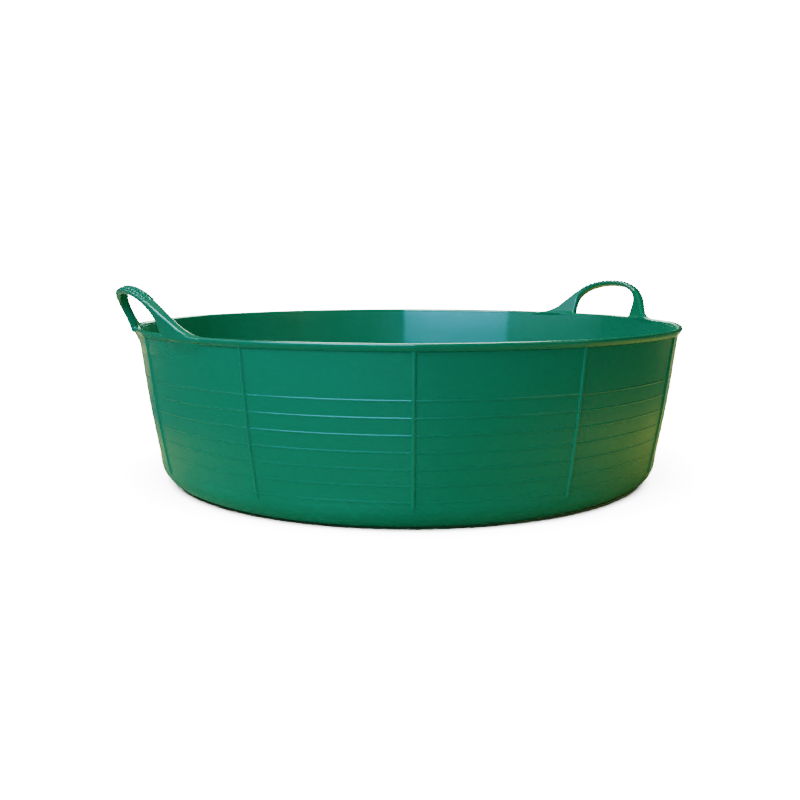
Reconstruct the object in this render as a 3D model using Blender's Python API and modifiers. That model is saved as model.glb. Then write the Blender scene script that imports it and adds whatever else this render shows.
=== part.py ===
"""Shallow two-handled flexible mixing tub of about 35 litres, as its moulded features.

Metres, +Z up. The origin is on the ground under the middle of the tub. The handles
stand on the brim at -X (left) and +X (right). Each handle's grip hinges where its
legs meet the brim, about a line along Y.
"""

import math

import bmesh
import bpy
from mathutils import Vector

# Driving dimensions
RIM_RADIUS = 0.285            # outside of the rim bead
BRIM_HEIGHT = 0.157           # ground to the top of the rim bead
WALL_FOOT_RADIUS = 0.2579     # outside of the wall, carried down to the ground
WALL_TOP_RADIUS = 0.2809      # outside of the wall, carried up to the brim
SHELL_THICKNESS = 0.0028
HEEL_RADIUS = 0.024           # rounding between the wall and the floor, outside
FLOOR_JOINT_RADIUS = 0.2283   # where the heel's flat foot meets the floor
FOOT_RING_WIDTH = 0.024
FLOOR_RISE = 0.0012           # the middle of the floor stands this much off the ground
GAP = 0.0003                  # left between neighbouring features
TURN_STEPS = 60               # sides of every turned piece

RIM_WIDTH = 0.0084
RIM_DEPTH = 0.0065
RIM_ROUNDING = 0.0026

RIB_COUNT = 12
RIB_WIDTH = 0.0034
RIB_CREST_WIDTH = 0.0022
RIB_PROUD = 0.0018
RIB_TOP = 0.1495
RIB_FOOT = 0.0212

LEVEL_COUNT = 7
LEVEL_TOP = 0.1114
LEVEL_SPACING = 0.01417
LEVEL_PROUD = 0.0006
LEVEL_FOOT_HEIGHT = 0.0018
LEVEL_CREST_HEIGHT = 0.0009

HANDLE_RADIUS = 0.2807        # middle of the handle's thickness, at the brim
HANDLE_LEAN = math.radians(20.0)
ARCH_HALF_SPAN = 0.0585       # middle of the strap, along the brim
ARCH_RISE = 0.0365            # middle of the strap, above the brim
ARCH_SQUARENESS = 2.5         # 2 is an ellipse, more is squarer
STRAP_HEIGHT = 0.0074         # strap's thickness in its own plane, at the top
GRIP_DEPTH = 0.0115           # from the inside of the grip to its outside
LEG_WIDTH = 0.0176            # leg's width along the brim, at the hinge
LEG_DEPTH = 0.0070
LEG_MIDDLE = 0.0580           # Y of the middle of a leg at the hinge
HINGE_HEIGHT = 0.0070         # hinge line above the brim
HINGE_INSET = 0.0010          # hinge line inside the legs' own middle
SEAT_CLEARANCE = 0.00035
LIP_DROP = 0.0027             # seat's lips below the hinge line

ROOT_INNER_END = 0.0484       # along the brim from the middle of the handle
ROOT_OUTER_END = 0.1060
ROOT_FLARE_START = 0.0680
ROOT_FLARE_HEIGHT = 0.0125
ROOT_TIP_HEIGHT = 0.0012
ROOT_DEPTH = 0.0088
ROOT_TIP_DEPTH = 0.0056

WALL_SLOPE = (WALL_TOP_RADIUS - WALL_FOOT_RADIUS) / BRIM_HEIGHT
WALL_LEAN = math.atan(WALL_SLOPE)
HEEL_TOP = HEEL_RADIUS * (1.0 - math.sin(WALL_LEAN))
UP = Vector((0.0, 0.0, 1.0))

SHELL_GREEN = (0.010, 0.165, 0.090, 1.0)
TRIM_GREEN = (0.012, 0.190, 0.105, 1.0)
SHELL_ROUGHNESS = 0.38
GRIP_ROUGHNESS = 0.48


def clear_scene():
    for old in list(bpy.data.objects):
        bpy.data.objects.remove(old, do_unlink=True)


def new_collection(name):
    collection = bpy.data.collections.new(name)
    bpy.context.scene.collection.children.link(collection)
    return collection


def plastic(name, colour, roughness):
    material = bpy.data.materials.new(name)
    material.use_nodes = True
    shader = material.node_tree.nodes["Principled BSDF"]
    shader.inputs["Base Color"].default_value = colour
    shader.inputs["Roughness"].default_value = roughness
    shader.inputs["Metallic"].default_value = 0.0
    material.diffuse_color = colour
    return material


def new_object(name, mesh, collection, colour=SHELL_GREEN, roughness=SHELL_ROUGHNESS):
    obj = bpy.data.objects.new(name, mesh)
    collection.objects.link(obj)
    obj.data.materials.append(plastic(name + "_plastic", colour, roughness))
    return obj


def new_cutter(name, mesh, cutters):
    cutter = bpy.data.objects.new(name, mesh)
    cutters.objects.link(cutter)
    cutter.hide_render = True
    cutter.display_type = "WIRE"
    return cutter


def cut(target, cutter):
    modifier = target.modifiers.new("cut_" + cutter.name, "BOOLEAN")
    modifier.operation = "DIFFERENCE"
    modifier.solver = "EXACT"
    modifier.object = cutter


def mesh_from_bmesh(name, bm, sharp_angle=math.radians(35.0)):
    bmesh.ops.recalc_face_normals(bm, faces=bm.faces)
    mesh = bpy.data.meshes.new(name)
    bm.to_mesh(mesh)
    bm.free()
    mesh.shade_smooth()
    mesh.set_sharp_from_angle(angle=sharp_angle)
    return mesh


def arc(centre, radius, start, end, steps):
    """Points of an arc in the profile plane, both ends included; angles from +X."""
    points = []
    for step in range(steps + 1):
        angle = start + (end - start) * step / steps
        across = centre[0] + radius * math.cos(angle)
        height = centre[1] + radius * math.sin(angle)
        points.append((across, height))
    return points


def turned(name, profile, closed, collection, colour=SHELL_GREEN):
    """A profile of (radius, height) points, outer side running down, turned about Z."""
    mesh = bpy.data.meshes.new(name)
    vertices = [(radius, 0.0, height) for radius, height in profile]
    edges = [(i, i + 1) for i in range(len(profile) - 1)]
    if closed:
        edges.append((len(profile) - 1, 0))
    mesh.from_pydata(vertices, edges, [])
    obj = new_object(name, mesh, collection, colour)
    screw = obj.modifiers.new("turn", "SCREW")
    screw.axis = "Z"
    screw.angle = 2.0 * math.pi
    screw.steps = TURN_STEPS
    screw.render_steps = TURN_STEPS
    screw.use_merge_vertices = True
    screw.merge_threshold = 0.0001
    screw.use_smooth_shade = True
    return obj


def loft(name, sections):
    """One closed skin through sections that all have the same number of points."""
    bm = bmesh.new()
    rings = [[bm.verts.new(point) for point in section] for section in sections]
    count = len(rings[0])
    for lower, upper in zip(rings, rings[1:]):
        for i in range(count):
            j = (i + 1) % count
            bm.faces.new((lower[i], lower[j], upper[j], upper[i]))
    bm.faces.new(rings[0][::-1])
    bm.faces.new(rings[-1])
    return mesh_from_bmesh(name, bm)


def box_vertices(bm, low, high):
    """Add a box between two corners."""
    made = bmesh.ops.create_cube(bm, size=1.0)["verts"]
    size = [top - bottom for bottom, top in zip(low, high)]
    middle = [(top + bottom) / 2.0 for bottom, top in zip(low, high)]
    bmesh.ops.scale(bm, vec=size, verts=made)
    bmesh.ops.translate(bm, vec=middle, verts=made)
    return made


def wall_radius(height):
    """Outside radius of the straight part of the wall."""
    return WALL_FOOT_RADIUS + height * WALL_SLOPE


def smooth_step(value, low, high):
    part = min(max((value - low) / (high - low), 0.0), 1.0)
    return part * part * (3.0 - 2.0 * part)


# The shell

def make_floor(parts):
    """Floor disc: a flat foot ring under its edge, and a middle that stands clear."""
    edge = FLOOR_JOINT_RADIUS - GAP
    ring_inside = edge - FOOT_RING_WIDTH
    slope = 0.004
    profile = [
        (0.0, SHELL_THICKNESS + FLOOR_RISE),
        (ring_inside - slope, SHELL_THICKNESS + FLOOR_RISE),
        (ring_inside, SHELL_THICKNESS),
        (edge, SHELL_THICKNESS),
        (edge, 0.0),
        (ring_inside, 0.0),
        (ring_inside - slope, FLOOR_RISE),
        (0.0, FLOOR_RISE),
    ]
    turned("base_floor", profile, False, parts)


def make_side_wall(parts):
    """Straight leaning wall, from square on the heel's top to level under the bead."""
    top = BRIM_HEIGHT - RIM_DEPTH - GAP
    bottom = HEEL_TOP + GAP
    inward = SHELL_THICKNESS * math.cos(WALL_LEAN)
    upward = SHELL_THICKNESS * math.sin(WALL_LEAN)
    profile = [
        (wall_radius(top), top),
        (wall_radius(bottom), bottom),
        (wall_radius(bottom) - inward, bottom + upward),
        (wall_radius(top) - SHELL_THICKNESS / math.cos(WALL_LEAN), top),
    ]
    turned("side_wall", profile, True, parts)


def make_heel(parts):
    """Rounded corner between the wall and the floor, with a flat foot under it."""
    centre = (wall_radius(HEEL_RADIUS) - HEEL_RADIUS / math.cos(WALL_LEAN), HEEL_RADIUS)
    steps = 5
    down = -math.pi / 2.0
    profile = arc(centre, HEEL_RADIUS, -WALL_LEAN, down, steps)
    profile += [(FLOOR_JOINT_RADIUS, 0.0), (FLOOR_JOINT_RADIUS, SHELL_THICKNESS)]
    profile += arc(centre, HEEL_RADIUS - SHELL_THICKNESS, down, -WALL_LEAN, steps)
    turned("wall_heel", profile, True, parts)


def make_rim(parts):
    """Rolled bead along the top of the wall, standing out past it."""
    outside = RIM_RADIUS - RIM_ROUNDING
    inside = RIM_RADIUS - RIM_WIDTH + RIM_ROUNDING
    top = BRIM_HEIGHT - RIM_ROUNDING
    bottom = BRIM_HEIGHT - RIM_DEPTH + RIM_ROUNDING
    quarter = math.pi / 2.0
    profile = arc((outside, top), RIM_ROUNDING, quarter, 0.0, 2)
    profile += arc((outside, bottom), RIM_ROUNDING, 0.0, -quarter, 2)
    profile += arc((inside, bottom), RIM_ROUNDING, -quarter, -2.0 * quarter, 2)
    profile += arc((inside, top), RIM_ROUNDING, 2.0 * quarter, quarter, 2)
    turned("rim_bead", profile, True, parts, TRIM_GREEN)


def level_height(index):
    return LEVEL_TOP - index * LEVEL_SPACING


def make_level_line(index, parts):
    """Raised filling line round the outside; line 1 is the highest."""
    height = level_height(index)
    half_foot = LEVEL_FOOT_HEIGHT / 2.0
    half_crest = LEVEL_CREST_HEIGHT / 2.0
    profile = [
        (wall_radius(height + half_foot) + GAP, height + half_foot),
        (wall_radius(height + half_crest) + GAP + LEVEL_PROUD, height + half_crest),
        (wall_radius(height - half_crest) + GAP + LEVEL_PROUD, height - half_crest),
        (wall_radius(height - half_foot) + GAP, height - half_foot),
    ]
    turned("level_line_%d" % (index + 1), profile, True, parts, TRIM_GREEN)


def rib_mesh(length):
    """Straight rib on its back: X stands out from the wall, Z runs up it."""
    bm = bmesh.new()
    half = length / 2.0
    low = (0.0, -RIB_WIDTH / 2.0, -half)
    high = (RIB_PROUD, RIB_WIDTH / 2.0, half)
    for vertex in box_vertices(bm, low, high):
        if vertex.co.x > RIB_PROUD / 2.0:
            vertex.co.y *= RIB_CREST_WIDTH / RIB_WIDTH
            vertex.co.z -= math.copysign(RIB_PROUD, vertex.co.z)
    return mesh_from_bmesh("rib", bm)


def rib_notch_mesh(middle):
    """Boxes that clear the level lines where they pass under a rib."""
    bm = bmesh.new()
    half_height = LEVEL_FOOT_HEIGHT / 2.0 + GAP
    for index in range(LEVEL_COUNT):
        along = (level_height(index) - middle) / math.cos(WALL_LEAN)
        low = (-2.0 * GAP, -RIB_WIDTH, along - half_height)
        high = (LEVEL_PROUD + GAP, RIB_WIDTH, along + half_height)
        box_vertices(bm, low, high)
    return mesh_from_bmesh("rib_notches", bm)


def make_ribs(parts, cutters):
    """Upright ribs round the outside, one under the middle of each handle."""
    middle = (RIB_TOP + RIB_FOOT) / 2.0
    length = (RIB_TOP - RIB_FOOT) / math.cos(WALL_LEAN)
    mesh = rib_mesh(length)
    notches = rib_notch_mesh(middle)
    out = wall_radius(middle) + GAP / math.cos(WALL_LEAN)
    for index in range(RIB_COUNT):
        turn = 2.0 * math.pi * index / RIB_COUNT
        name = "wall_rib_%02d" % (index + 1)
        place = (out * math.cos(turn), out * math.sin(turn), middle)
        rib = new_object(name, mesh.copy(), parts, TRIM_GREEN)
        cutter = new_cutter(name + "_notches", notches, cutters)
        for obj in (rib, cutter):
            obj.location = place
            obj.rotation_euler = (0.0, WALL_LEAN, turn)
        cut(rib, cutter)


# The handles, drawn at +X about a point on their hinge line

def hinge_point():
    around = LEG_MIDDLE / RIM_RADIUS
    reach = HANDLE_RADIUS + HINGE_HEIGHT * math.tan(HANDLE_LEAN)
    return Vector((reach * math.cos(around) - HINGE_INSET, 0.0, BRIM_HEIGHT + HINGE_HEIGHT))


def on_handle(along, above):
    """Point of the handle's leaning middle surface, with its three directions."""
    around = along / RIM_RADIUS
    outward = Vector((math.cos(around), math.sin(around), 0.0))
    sideways = Vector((-math.sin(around), math.cos(around), 0.0))
    reach = HANDLE_RADIUS + above * math.tan(HANDLE_LEAN)
    point = outward * reach + UP * (BRIM_HEIGHT + above)
    uphill = outward * math.sin(HANDLE_LEAN) + UP * math.cos(HANDLE_LEAN)
    face = outward * math.cos(HANDLE_LEAN) - UP * math.sin(HANDLE_LEAN)
    return point, sideways, uphill, face


def rounded_section(middle, across, through, width, depth, squareness=4.0):
    """Twelve points of a soft-cornered rectangle; corners are rounder when squareness is low."""
    count = 12
    power = 2.0 / squareness
    points = []
    for i in range(count):
        angle = 2.0 * math.pi * (i + 0.5) / count
        c = math.cos(angle)
        s = math.sin(angle)
        a = math.copysign(abs(c) ** power, c) * width / 2.0
        b = math.copysign(abs(s) ** power, s) * depth / 2.0
        points.append(middle + across * a + through * b)
    return points


def arch_point(angle):
    """Middle of the strap: distance along the brim, and height above it."""
    power = 2.0 / ARCH_SQUARENESS
    c = math.cos(angle)
    along = -math.copysign(abs(c) ** power, c) * ARCH_HALF_SPAN
    above = math.sin(angle) ** power * ARCH_RISE
    return along, above


def arch_section(angle):
    along, above = arch_point(angle)
    point, sideways, uphill, face = on_handle(along, above)
    before = arch_point(angle - 0.01)
    after = arch_point(angle + 0.01)
    run = Vector((after[0] - before[0], (after[1] - before[1]) / math.cos(HANDLE_LEAN)))
    run.normalize()
    across = uphill * run.x - sideways * run.y
    grown = smooth_step(above, 0.010, 0.027)
    width = LEG_WIDTH + (STRAP_HEIGHT - LEG_WIDTH) * grown
    depth = LEG_DEPTH + (GRIP_DEPTH - LEG_DEPTH) * grown
    return rounded_section(point, across, face, width, depth)


def leg_end_sections(side):
    """Round end of a leg, from its tip up to the hinge line; side is -1 front, 1 rear."""
    point, sideways, uphill, face = on_handle(0.0, 0.0)
    hinge = hinge_point() + Vector((0.0, side * LEG_MIDDLE, 0.0))
    across = Vector((0.0, side, 0.0))
    radius = LEG_DEPTH / 2.0
    sections = []
    for degrees in (80.0, 55.0, 28.0, 0.0):
        drop = radius * math.sin(math.radians(degrees))
        depth = LEG_DEPTH * math.cos(math.radians(degrees))
        middle = hinge - uphill * drop
        sections.append(rounded_section(middle, across, face, LEG_WIDTH, depth, 6.0))
    return sections


def grip_mesh():
    """Strap that a hand closes round, from one leg's round end over to the other's."""
    steps = 13
    first = math.radians(16.0)
    sections = leg_end_sections(-1.0)
    for step in range(steps + 1):
        angle = first + (math.pi - 2.0 * first) * step / steps
        sections.append(arch_section(angle))
    sections += leg_end_sections(1.0)[::-1]
    hinge = hinge_point()
    local = [[point - hinge for point in section] for section in sections]
    return loft("grip", local)


def root_section(along):
    """Upright slice of a root across the brim."""
    flare = (ROOT_OUTER_END - along) / (ROOT_OUTER_END - ROOT_FLARE_START)
    height = ROOT_TIP_HEIGHT + (ROOT_FLARE_HEIGHT - ROOT_TIP_HEIGHT) * min(flare, 1.0) ** 2
    depth = ROOT_TIP_DEPTH + (ROOT_DEPTH - ROOT_TIP_DEPTH) * min(flare, 1.0)
    corner = min(0.0012, height / 3.0)
    outline = [(-1, 0.0), (1, 0.0), (1, height - corner), (1, height), (-1, height), (-1, height - corner)]
    points = []
    for end, above in outline:
        inset = corner if above == height else 0.0
        point, sideways, uphill, face = on_handle(along, above + GAP)
        outward = Vector((face.x, face.y, 0.0)).normalized()
        points.append(point + outward * end * (depth / 2.0 - inset))
    return points


def root_mesh(side):
    """Foot of one leg on the brim, tapering away from the handle; side is -1 or 1 along Y."""
    steps_under_leg = 3
    steps_of_flare = 5
    under_leg = ROOT_FLARE_START - ROOT_INNER_END
    flare = ROOT_OUTER_END - ROOT_FLARE_START
    stations = [ROOT_INNER_END + under_leg * i / steps_under_leg for i in range(steps_under_leg)]
    stations += [ROOT_FLARE_START + flare * i / steps_of_flare for i in range(steps_of_flare + 1)]
    hinge = hinge_point()
    sections = []
    for along in stations:
        section = [Vector((p.x, side * p.y, p.z)) - hinge for p in root_section(along)]
        sections.append(section)
    return loft("root", sections)


def seat_cutter_meshes(side):
    """Round seat under the leg's end, and the space above the seat's lips."""
    edge = LEG_MIDDLE + LEG_WIDTH / 2.0 + 0.0005
    start = ROOT_INNER_END - 0.004
    middle = side * (start + edge) / 2.0
    seat = bmesh.new()
    radius = LEG_DEPTH / 2.0 + SEAT_CLEARANCE
    bmesh.ops.create_cone(
        seat, cap_ends=True, segments=24, radius1=radius, radius2=radius, depth=edge - start
    )
    for vertex in seat.verts:
        vertex.co = Vector((vertex.co.x, vertex.co.z + middle, vertex.co.y))
    space = bmesh.new()
    reach = 0.02
    low = (-reach, min(side * start, side * edge), -LIP_DROP)
    high = (reach, max(side * start, side * edge), reach)
    box_vertices(space, low, high)
    return mesh_from_bmesh("seat", seat), mesh_from_bmesh("leg_space", space)


def make_handle(hand, parts, cutters):
    """Grip and its two roots; hand is left at -X or right at +X."""
    turn = math.pi if hand == "left" else 0.0
    facing = -1.0 if hand == "left" else 1.0
    hinge = hinge_point()
    place = (facing * hinge.x, 0.0, hinge.z)
    grip = new_object(hand + "_handle_grip", grip_mesh(), parts, TRIM_GREEN, GRIP_ROUGHNESS)
    pieces = [grip]
    for end, world_side in (("front", -1.0), ("rear", 1.0)):
        side = world_side * facing
        name = "%s_handle_%s_root" % (hand, end)
        root = new_object(name, root_mesh(side), parts, TRIM_GREEN)
        pieces.append(root)
        for label, mesh in zip(("seat", "leg_space"), seat_cutter_meshes(side)):
            cutter = new_cutter("%s_%s" % (name, label), mesh, cutters)
            pieces.append(cutter)
            cut(root, cutter)
    for piece in pieces:
        piece.location = place
        piece.rotation_euler = (0.0, 0.0, turn)


def main():
    clear_scene()
    parts = new_collection("flexible_mixing_tub")
    cutters = new_collection("cutters")
    make_floor(parts)
    make_heel(parts)
    make_side_wall(parts)
    make_rim(parts)
    for index in range(LEVEL_COUNT):
        make_level_line(index, parts)
    make_ribs(parts, cutters)
    for hand in ("left", "right"):
        make_handle(hand, parts, cutters)


main()
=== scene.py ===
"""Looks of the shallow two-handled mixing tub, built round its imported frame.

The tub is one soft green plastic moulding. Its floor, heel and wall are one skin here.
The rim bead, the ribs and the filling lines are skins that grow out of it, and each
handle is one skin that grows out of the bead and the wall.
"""

import math

import bpy
import numpy as np
from mathutils import Matrix, Vector


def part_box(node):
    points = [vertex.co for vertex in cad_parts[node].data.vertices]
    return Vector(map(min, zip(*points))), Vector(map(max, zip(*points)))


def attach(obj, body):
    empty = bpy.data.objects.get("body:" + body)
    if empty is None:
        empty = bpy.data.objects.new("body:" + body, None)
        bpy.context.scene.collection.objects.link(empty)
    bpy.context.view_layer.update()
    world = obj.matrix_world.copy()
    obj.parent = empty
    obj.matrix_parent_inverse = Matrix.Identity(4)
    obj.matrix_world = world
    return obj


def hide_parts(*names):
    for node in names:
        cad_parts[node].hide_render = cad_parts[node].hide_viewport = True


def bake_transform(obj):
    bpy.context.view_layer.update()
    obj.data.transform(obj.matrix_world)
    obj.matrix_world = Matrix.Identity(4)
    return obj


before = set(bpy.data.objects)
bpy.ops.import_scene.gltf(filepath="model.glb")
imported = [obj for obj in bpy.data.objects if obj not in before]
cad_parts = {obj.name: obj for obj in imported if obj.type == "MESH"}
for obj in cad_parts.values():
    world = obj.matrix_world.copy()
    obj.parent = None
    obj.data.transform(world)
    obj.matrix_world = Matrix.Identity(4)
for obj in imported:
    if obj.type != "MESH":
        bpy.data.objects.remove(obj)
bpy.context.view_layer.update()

# What the frame gives, in metres
RIM_LOW, RIM_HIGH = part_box("rim_bead")
RIM_RADIUS = RIM_HIGH.x
BRIM = RIM_HIGH.z
RIM_BOTTOM = RIM_LOW.z
WALL_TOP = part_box("side_wall")[1].z
WALL_TOP_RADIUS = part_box("side_wall")[1].x
FLOOR_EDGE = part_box("base_floor")[1].x
FLOOR_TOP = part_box("base_floor")[1].z
LEVEL_NODES = sorted(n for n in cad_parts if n.startswith("level_line"))
RIB_NODES = sorted(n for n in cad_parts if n.startswith("wall_rib"))
LEVEL_BOXES = [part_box(node) for node in LEVEL_NODES]
LEVEL_HEIGHTS = [(low.z + high.z) / 2.0 for low, high in LEVEL_BOXES]
GRIP_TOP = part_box("right_handle_grip")[1].z

WALL_SLOPE = (LEVEL_BOXES[0][1].x - LEVEL_BOXES[-1][1].x) / (LEVEL_HEIGHTS[0] - LEVEL_HEIGHTS[-1])
WALL_LEAN = math.atan(WALL_SLOPE)

# Sizes of the moulding that the looks add, in metres; a pair is the two ends of a smooth change
SHELL_THICKNESS = 0.0028
HEEL_RADIUS = 0.024
FLOOR_RISE = FLOOR_TOP - SHELL_THICKNESS
FLOOR_SLOPE = 0.012            # width of the slope from the raised floor down to the foot ring
FOOT_RING_WIDTH = 0.024
FOOT_RING_SLOPE = 0.005        # width of the foot ring's inner side, under the floor
CENTRE_RADIUS = 0.002          # innermost ring of points, which an end cap closes
DIMPLE_DEPTH = 0.0004          # in the middle of the inside floor, over the gate mark
DIMPLE_EDGE = (0.004, 0.007)
GATE_HEIGHT = 0.0009
GATE_EDGE = (0.004, 0.009)
WALL_INTO_BEAD = 0.003         # how far the wall's hidden top goes up into the bead
WALL_LIP_RISE = 0.0002         # and how far its middle is raised there
FLAT_INSIDE = (0.006, 0.002)   # how far the points of the flat stretches keep from their ends
FLAT_UNDER = 0.004

TURNS = 480                    # points round the tub, a multiple of the ribs
FLOOR_ROWS = 22                # rows of points along each stretch of the shell's profile
SLOPE_ROWS = 8
INNER_FLAT_ROWS = 5
INNER_HEEL_ROWS = 16
INNER_WALL_ROWS = 44
OUTER_WALL_ROWS = 60
OUTER_HEEL_ROWS = 20
FOOT_RING_ROWS = 6
UNDERSIDE_ROWS = 18

PANEL_FLATNESS = 0.24          # 0 is a round wall, 1 has flat panels between the ribs
PANEL_START = (0.004, 0.035)   # heights between which the panels begin
WALL_BEGINS = (-0.01, 0.02)    # from the floor's edge: where the round floor takes the wall's shape
BULGE = 0.0018                 # how far the wall swells half way up
BULGE_POWER = 1.5
WAVE_HEIGHT = 0.0003           # the soft wall isn't perfectly true
WAVE_START = (0.008, 0.050)    # heights between which the unevenness begins
WAVE_END = (0.030, 0.008)      # depths under the brim between which it ends
WAVES = (                      # share, waves round the tub, start, and radians a metre up
    (0.5, 3.0, 0.7, 9.0),
    (0.3, 7.0, -1.9, -21.0),
    (0.2, 13.0, 2.6, 34.0),
)

RIM_WIDTH = 0.0065
RIM_DEPTH = BRIM - RIM_BOTTOM
RIM_DRAFT = math.radians(34.0)  # how far the outside of the rim slants in towards its foot
RIM_SLANT_DROP = 0.0017        # how far under the brim the slant meets the outside
RIM_OUTER_FILLET = 0.0030
RIM_SLANT_FILLET = 0.0020
RIM_INNER_FILLET = 0.0036
RIM_FOOT_FILLET = 0.0006
RIM_FLATNESS = 0.26
RIM_TURNS = 1440               # the rim catches long thin highlights, so it is finer
RIM_SECTION_POINTS = 64
RIM_HALVINGS = 30              # steps of the search for the skin of the rim's section

# A skirt is where the skin of a rib or line dips under the wall, in half widths of its foot
RIB_STEP = 2.0 * math.pi / len(RIB_NODES)
RIB_SHARE = 0.25               # share of the panels' flattening that pushes the ribs out
RIB_PROUD = 0.0012
RIB_HALF_CREST = 0.0005
RIB_HALF_FOOT = 0.0020
RIB_SECTION = (-1.25, -1.0, -0.82, -0.64, -0.5, -0.36, -0.2, 0.0)
RIB_SKIRT = (0.96, 1.25)
RIB_DIP = 0.00025
RIB_FOOT_HEIGHT = 0.0175
RIB_RUNOUT = 0.006
RIB_INTO_BEAD = 0.001
RIB_ROWS = 90
LEVEL_PROUD = 0.00036
LEVEL_FADE = 0.08              # each line is fainter than the one above it by this share
LEVEL_WAVER = 0.15             # and it wavers by this share round the tub
LEVEL_WAVER_TURNS = 3.0
LEVEL_WAVER_SHIFT = 1.3        # from each line to the next
LEVEL_HALF_CREST = 0.0002
LEVEL_HALF_FOOT = 0.0010
LEVEL_SECTION = (1.3, 1.0, 0.75, 0.5, 0.25, 0.0)
LEVEL_SKIRT = (0.96, 1.3)
LEVEL_DIP = 0.0002
ROOTED = 0.0006                # how deep a rib or line reaches into the wall


def smooth(value, low, high):
    """0 below low, 1 above high, and a smooth rise between them."""
    part = np.clip((np.asarray(value, float) - low) / (high - low), 0.0, 1.0)
    return part * part * (3.0 - 2.0 * part)


# Meshes from rows of points

def mesh_object(name, points, faces, smooth_angle=math.radians(40.0)):
    """A mesh object with its faces pointing out."""
    points = np.asarray(points, float).reshape(-1, 3)
    volume = 0.0
    for i in range(1, max(len(f) for f in faces) - 1):
        some = [f for f in faces if len(f) > i + 1]
        a = points[[f[0] for f in some]]
        b = points[[f[i] for f in some]]
        c = points[[f[i + 1] for f in some]]
        volume += float(np.einsum("ij,ij->", a, np.cross(b, c)))
    if volume < 0.0:
        faces = [tuple(reversed(f)) for f in faces]
    mesh = bpy.data.meshes.new(name)
    mesh.from_pydata(points.tolist(), [], faces)
    mesh.update()
    mesh.shade_smooth()
    mesh.set_sharp_from_angle(angle=smooth_angle)
    obj = bpy.data.objects.new(name, mesh)
    bpy.context.scene.collection.objects.link(obj)
    return obj


def band_faces(across, first_row, next_row):
    """Quads between two rings of points, going all the way round."""
    a = first_row * across
    b = next_row * across
    return [(a + j, a + (j + 1) % across, b + (j + 1) % across, b + j) for j in range(across)]


def ring_skin(name, rings, looped):
    """Skin over rings of points. Looped rings close on the first one; others get end caps."""
    rings = np.asarray(rings, float)
    rows, across, _ = rings.shape
    faces = []
    for i in range(rows - 1):
        faces += band_faces(across, i, i + 1)
    points = rings.reshape(-1, 3)
    if looped:
        faces += band_faces(across, rows - 1, 0)
        return mesh_object(name, points, faces)
    ends = np.array([rings[0].mean(axis=0), rings[-1].mean(axis=0)])
    start_centre = len(points)
    end_centre = start_centre + 1
    last = (rows - 1) * across
    points = np.vstack([points, ends])
    faces += [(start_centre, (j + 1) % across, j) for j in range(across)]
    faces += [(end_centre, last + j, last + (j + 1) % across) for j in range(across)]
    return mesh_object(name, points, faces)


# The shape of the wall

def wall_radius(height):
    """Outside radius of the plain round wall at a height."""
    return WALL_TOP_RADIUS + (height - WALL_TOP) * WALL_SLOPE


def panel_share(around):
    """How far a flat panel lies inside the round wall, as a share of the radius."""
    from_rib = np.mod(np.asarray(around, float), RIB_STEP)
    from_middle = from_rib - RIB_STEP / 2.0
    return 1.0 - math.cos(RIB_STEP / 2.0) / np.cos(from_middle)


def wave(around, height):
    """Slow unevenness of the soft plastic, from -1 to 1."""
    return sum(
        share * np.sin(turns * around + start + twist * height)
        for share, turns, start, twist in WAVES
    )


def shaped(radius, around, height):
    """A wall radius, with its panels, its swelling and its unevenness."""
    flat = PANEL_FLATNESS * smooth(height, *PANEL_START)
    share = panel_share(around) - RIB_SHARE * panel_share(RIB_STEP / 2.0)
    swell = BULGE * np.sin(math.pi * np.clip(np.asarray(height) / RIM_BOTTOM, 0.0, 1.0)) ** BULGE_POWER
    ended = smooth(height, BRIM - WAVE_END[0], BRIM - WAVE_END[1])
    uneven = WAVE_HEIGHT * smooth(height, *WAVE_START) * (1.0 - ended)
    return radius * (1.0 - flat * share) + swell + uneven * wave(around, height)


def rim_radius(around):
    """Outside radius of the rim, which is slightly flattened between the ribs."""
    return RIM_RADIUS * (1.0 - RIM_FLATNESS * panel_share(around))


def soft_min(a, b, reach):
    """The lesser of two distances, with a fillet where they meet."""
    near = np.clip(reach - np.abs(a - b), 0.0, None) / reach
    return np.minimum(a, b) - near * near * reach * 0.25


def soft_max(a, b, reach):
    """The greater of two distances, with a fillet where they meet."""
    return -soft_min(-a, -b, reach)


def rim_distance(out, height):
    """Distance to the rim's section; out and height are counted from its upper outside edge."""
    slanted = out * math.cos(RIM_DRAFT) - (height + RIM_SLANT_DROP) * math.sin(RIM_DRAFT)
    section = soft_max(height, out, RIM_OUTER_FILLET)
    section = soft_max(section, slanted, RIM_SLANT_FILLET)
    section = soft_max(section, -RIM_WIDTH - out, RIM_INNER_FILLET)
    return soft_max(section, -RIM_DEPTH - height, RIM_FOOT_FILLET)


def on_wall(around, height, proud):
    """Points on the outside of the wall, standing out from it by proud."""
    out = shaped(wall_radius(height), around, height) + proud * math.cos(WALL_LEAN)
    up = height - proud * math.sin(WALL_LEAN)
    return np.stack([out * np.cos(around), out * np.sin(around), up + 0.0 * out], axis=-1)


def arc_points(centre, radius, start, end, steps):
    """Points on an arc, from one angle to another."""
    turn = np.linspace(start, end, steps)
    return [(centre[0] + radius * math.cos(a), centre[1] + radius * math.sin(a)) for a in turn]


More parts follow.
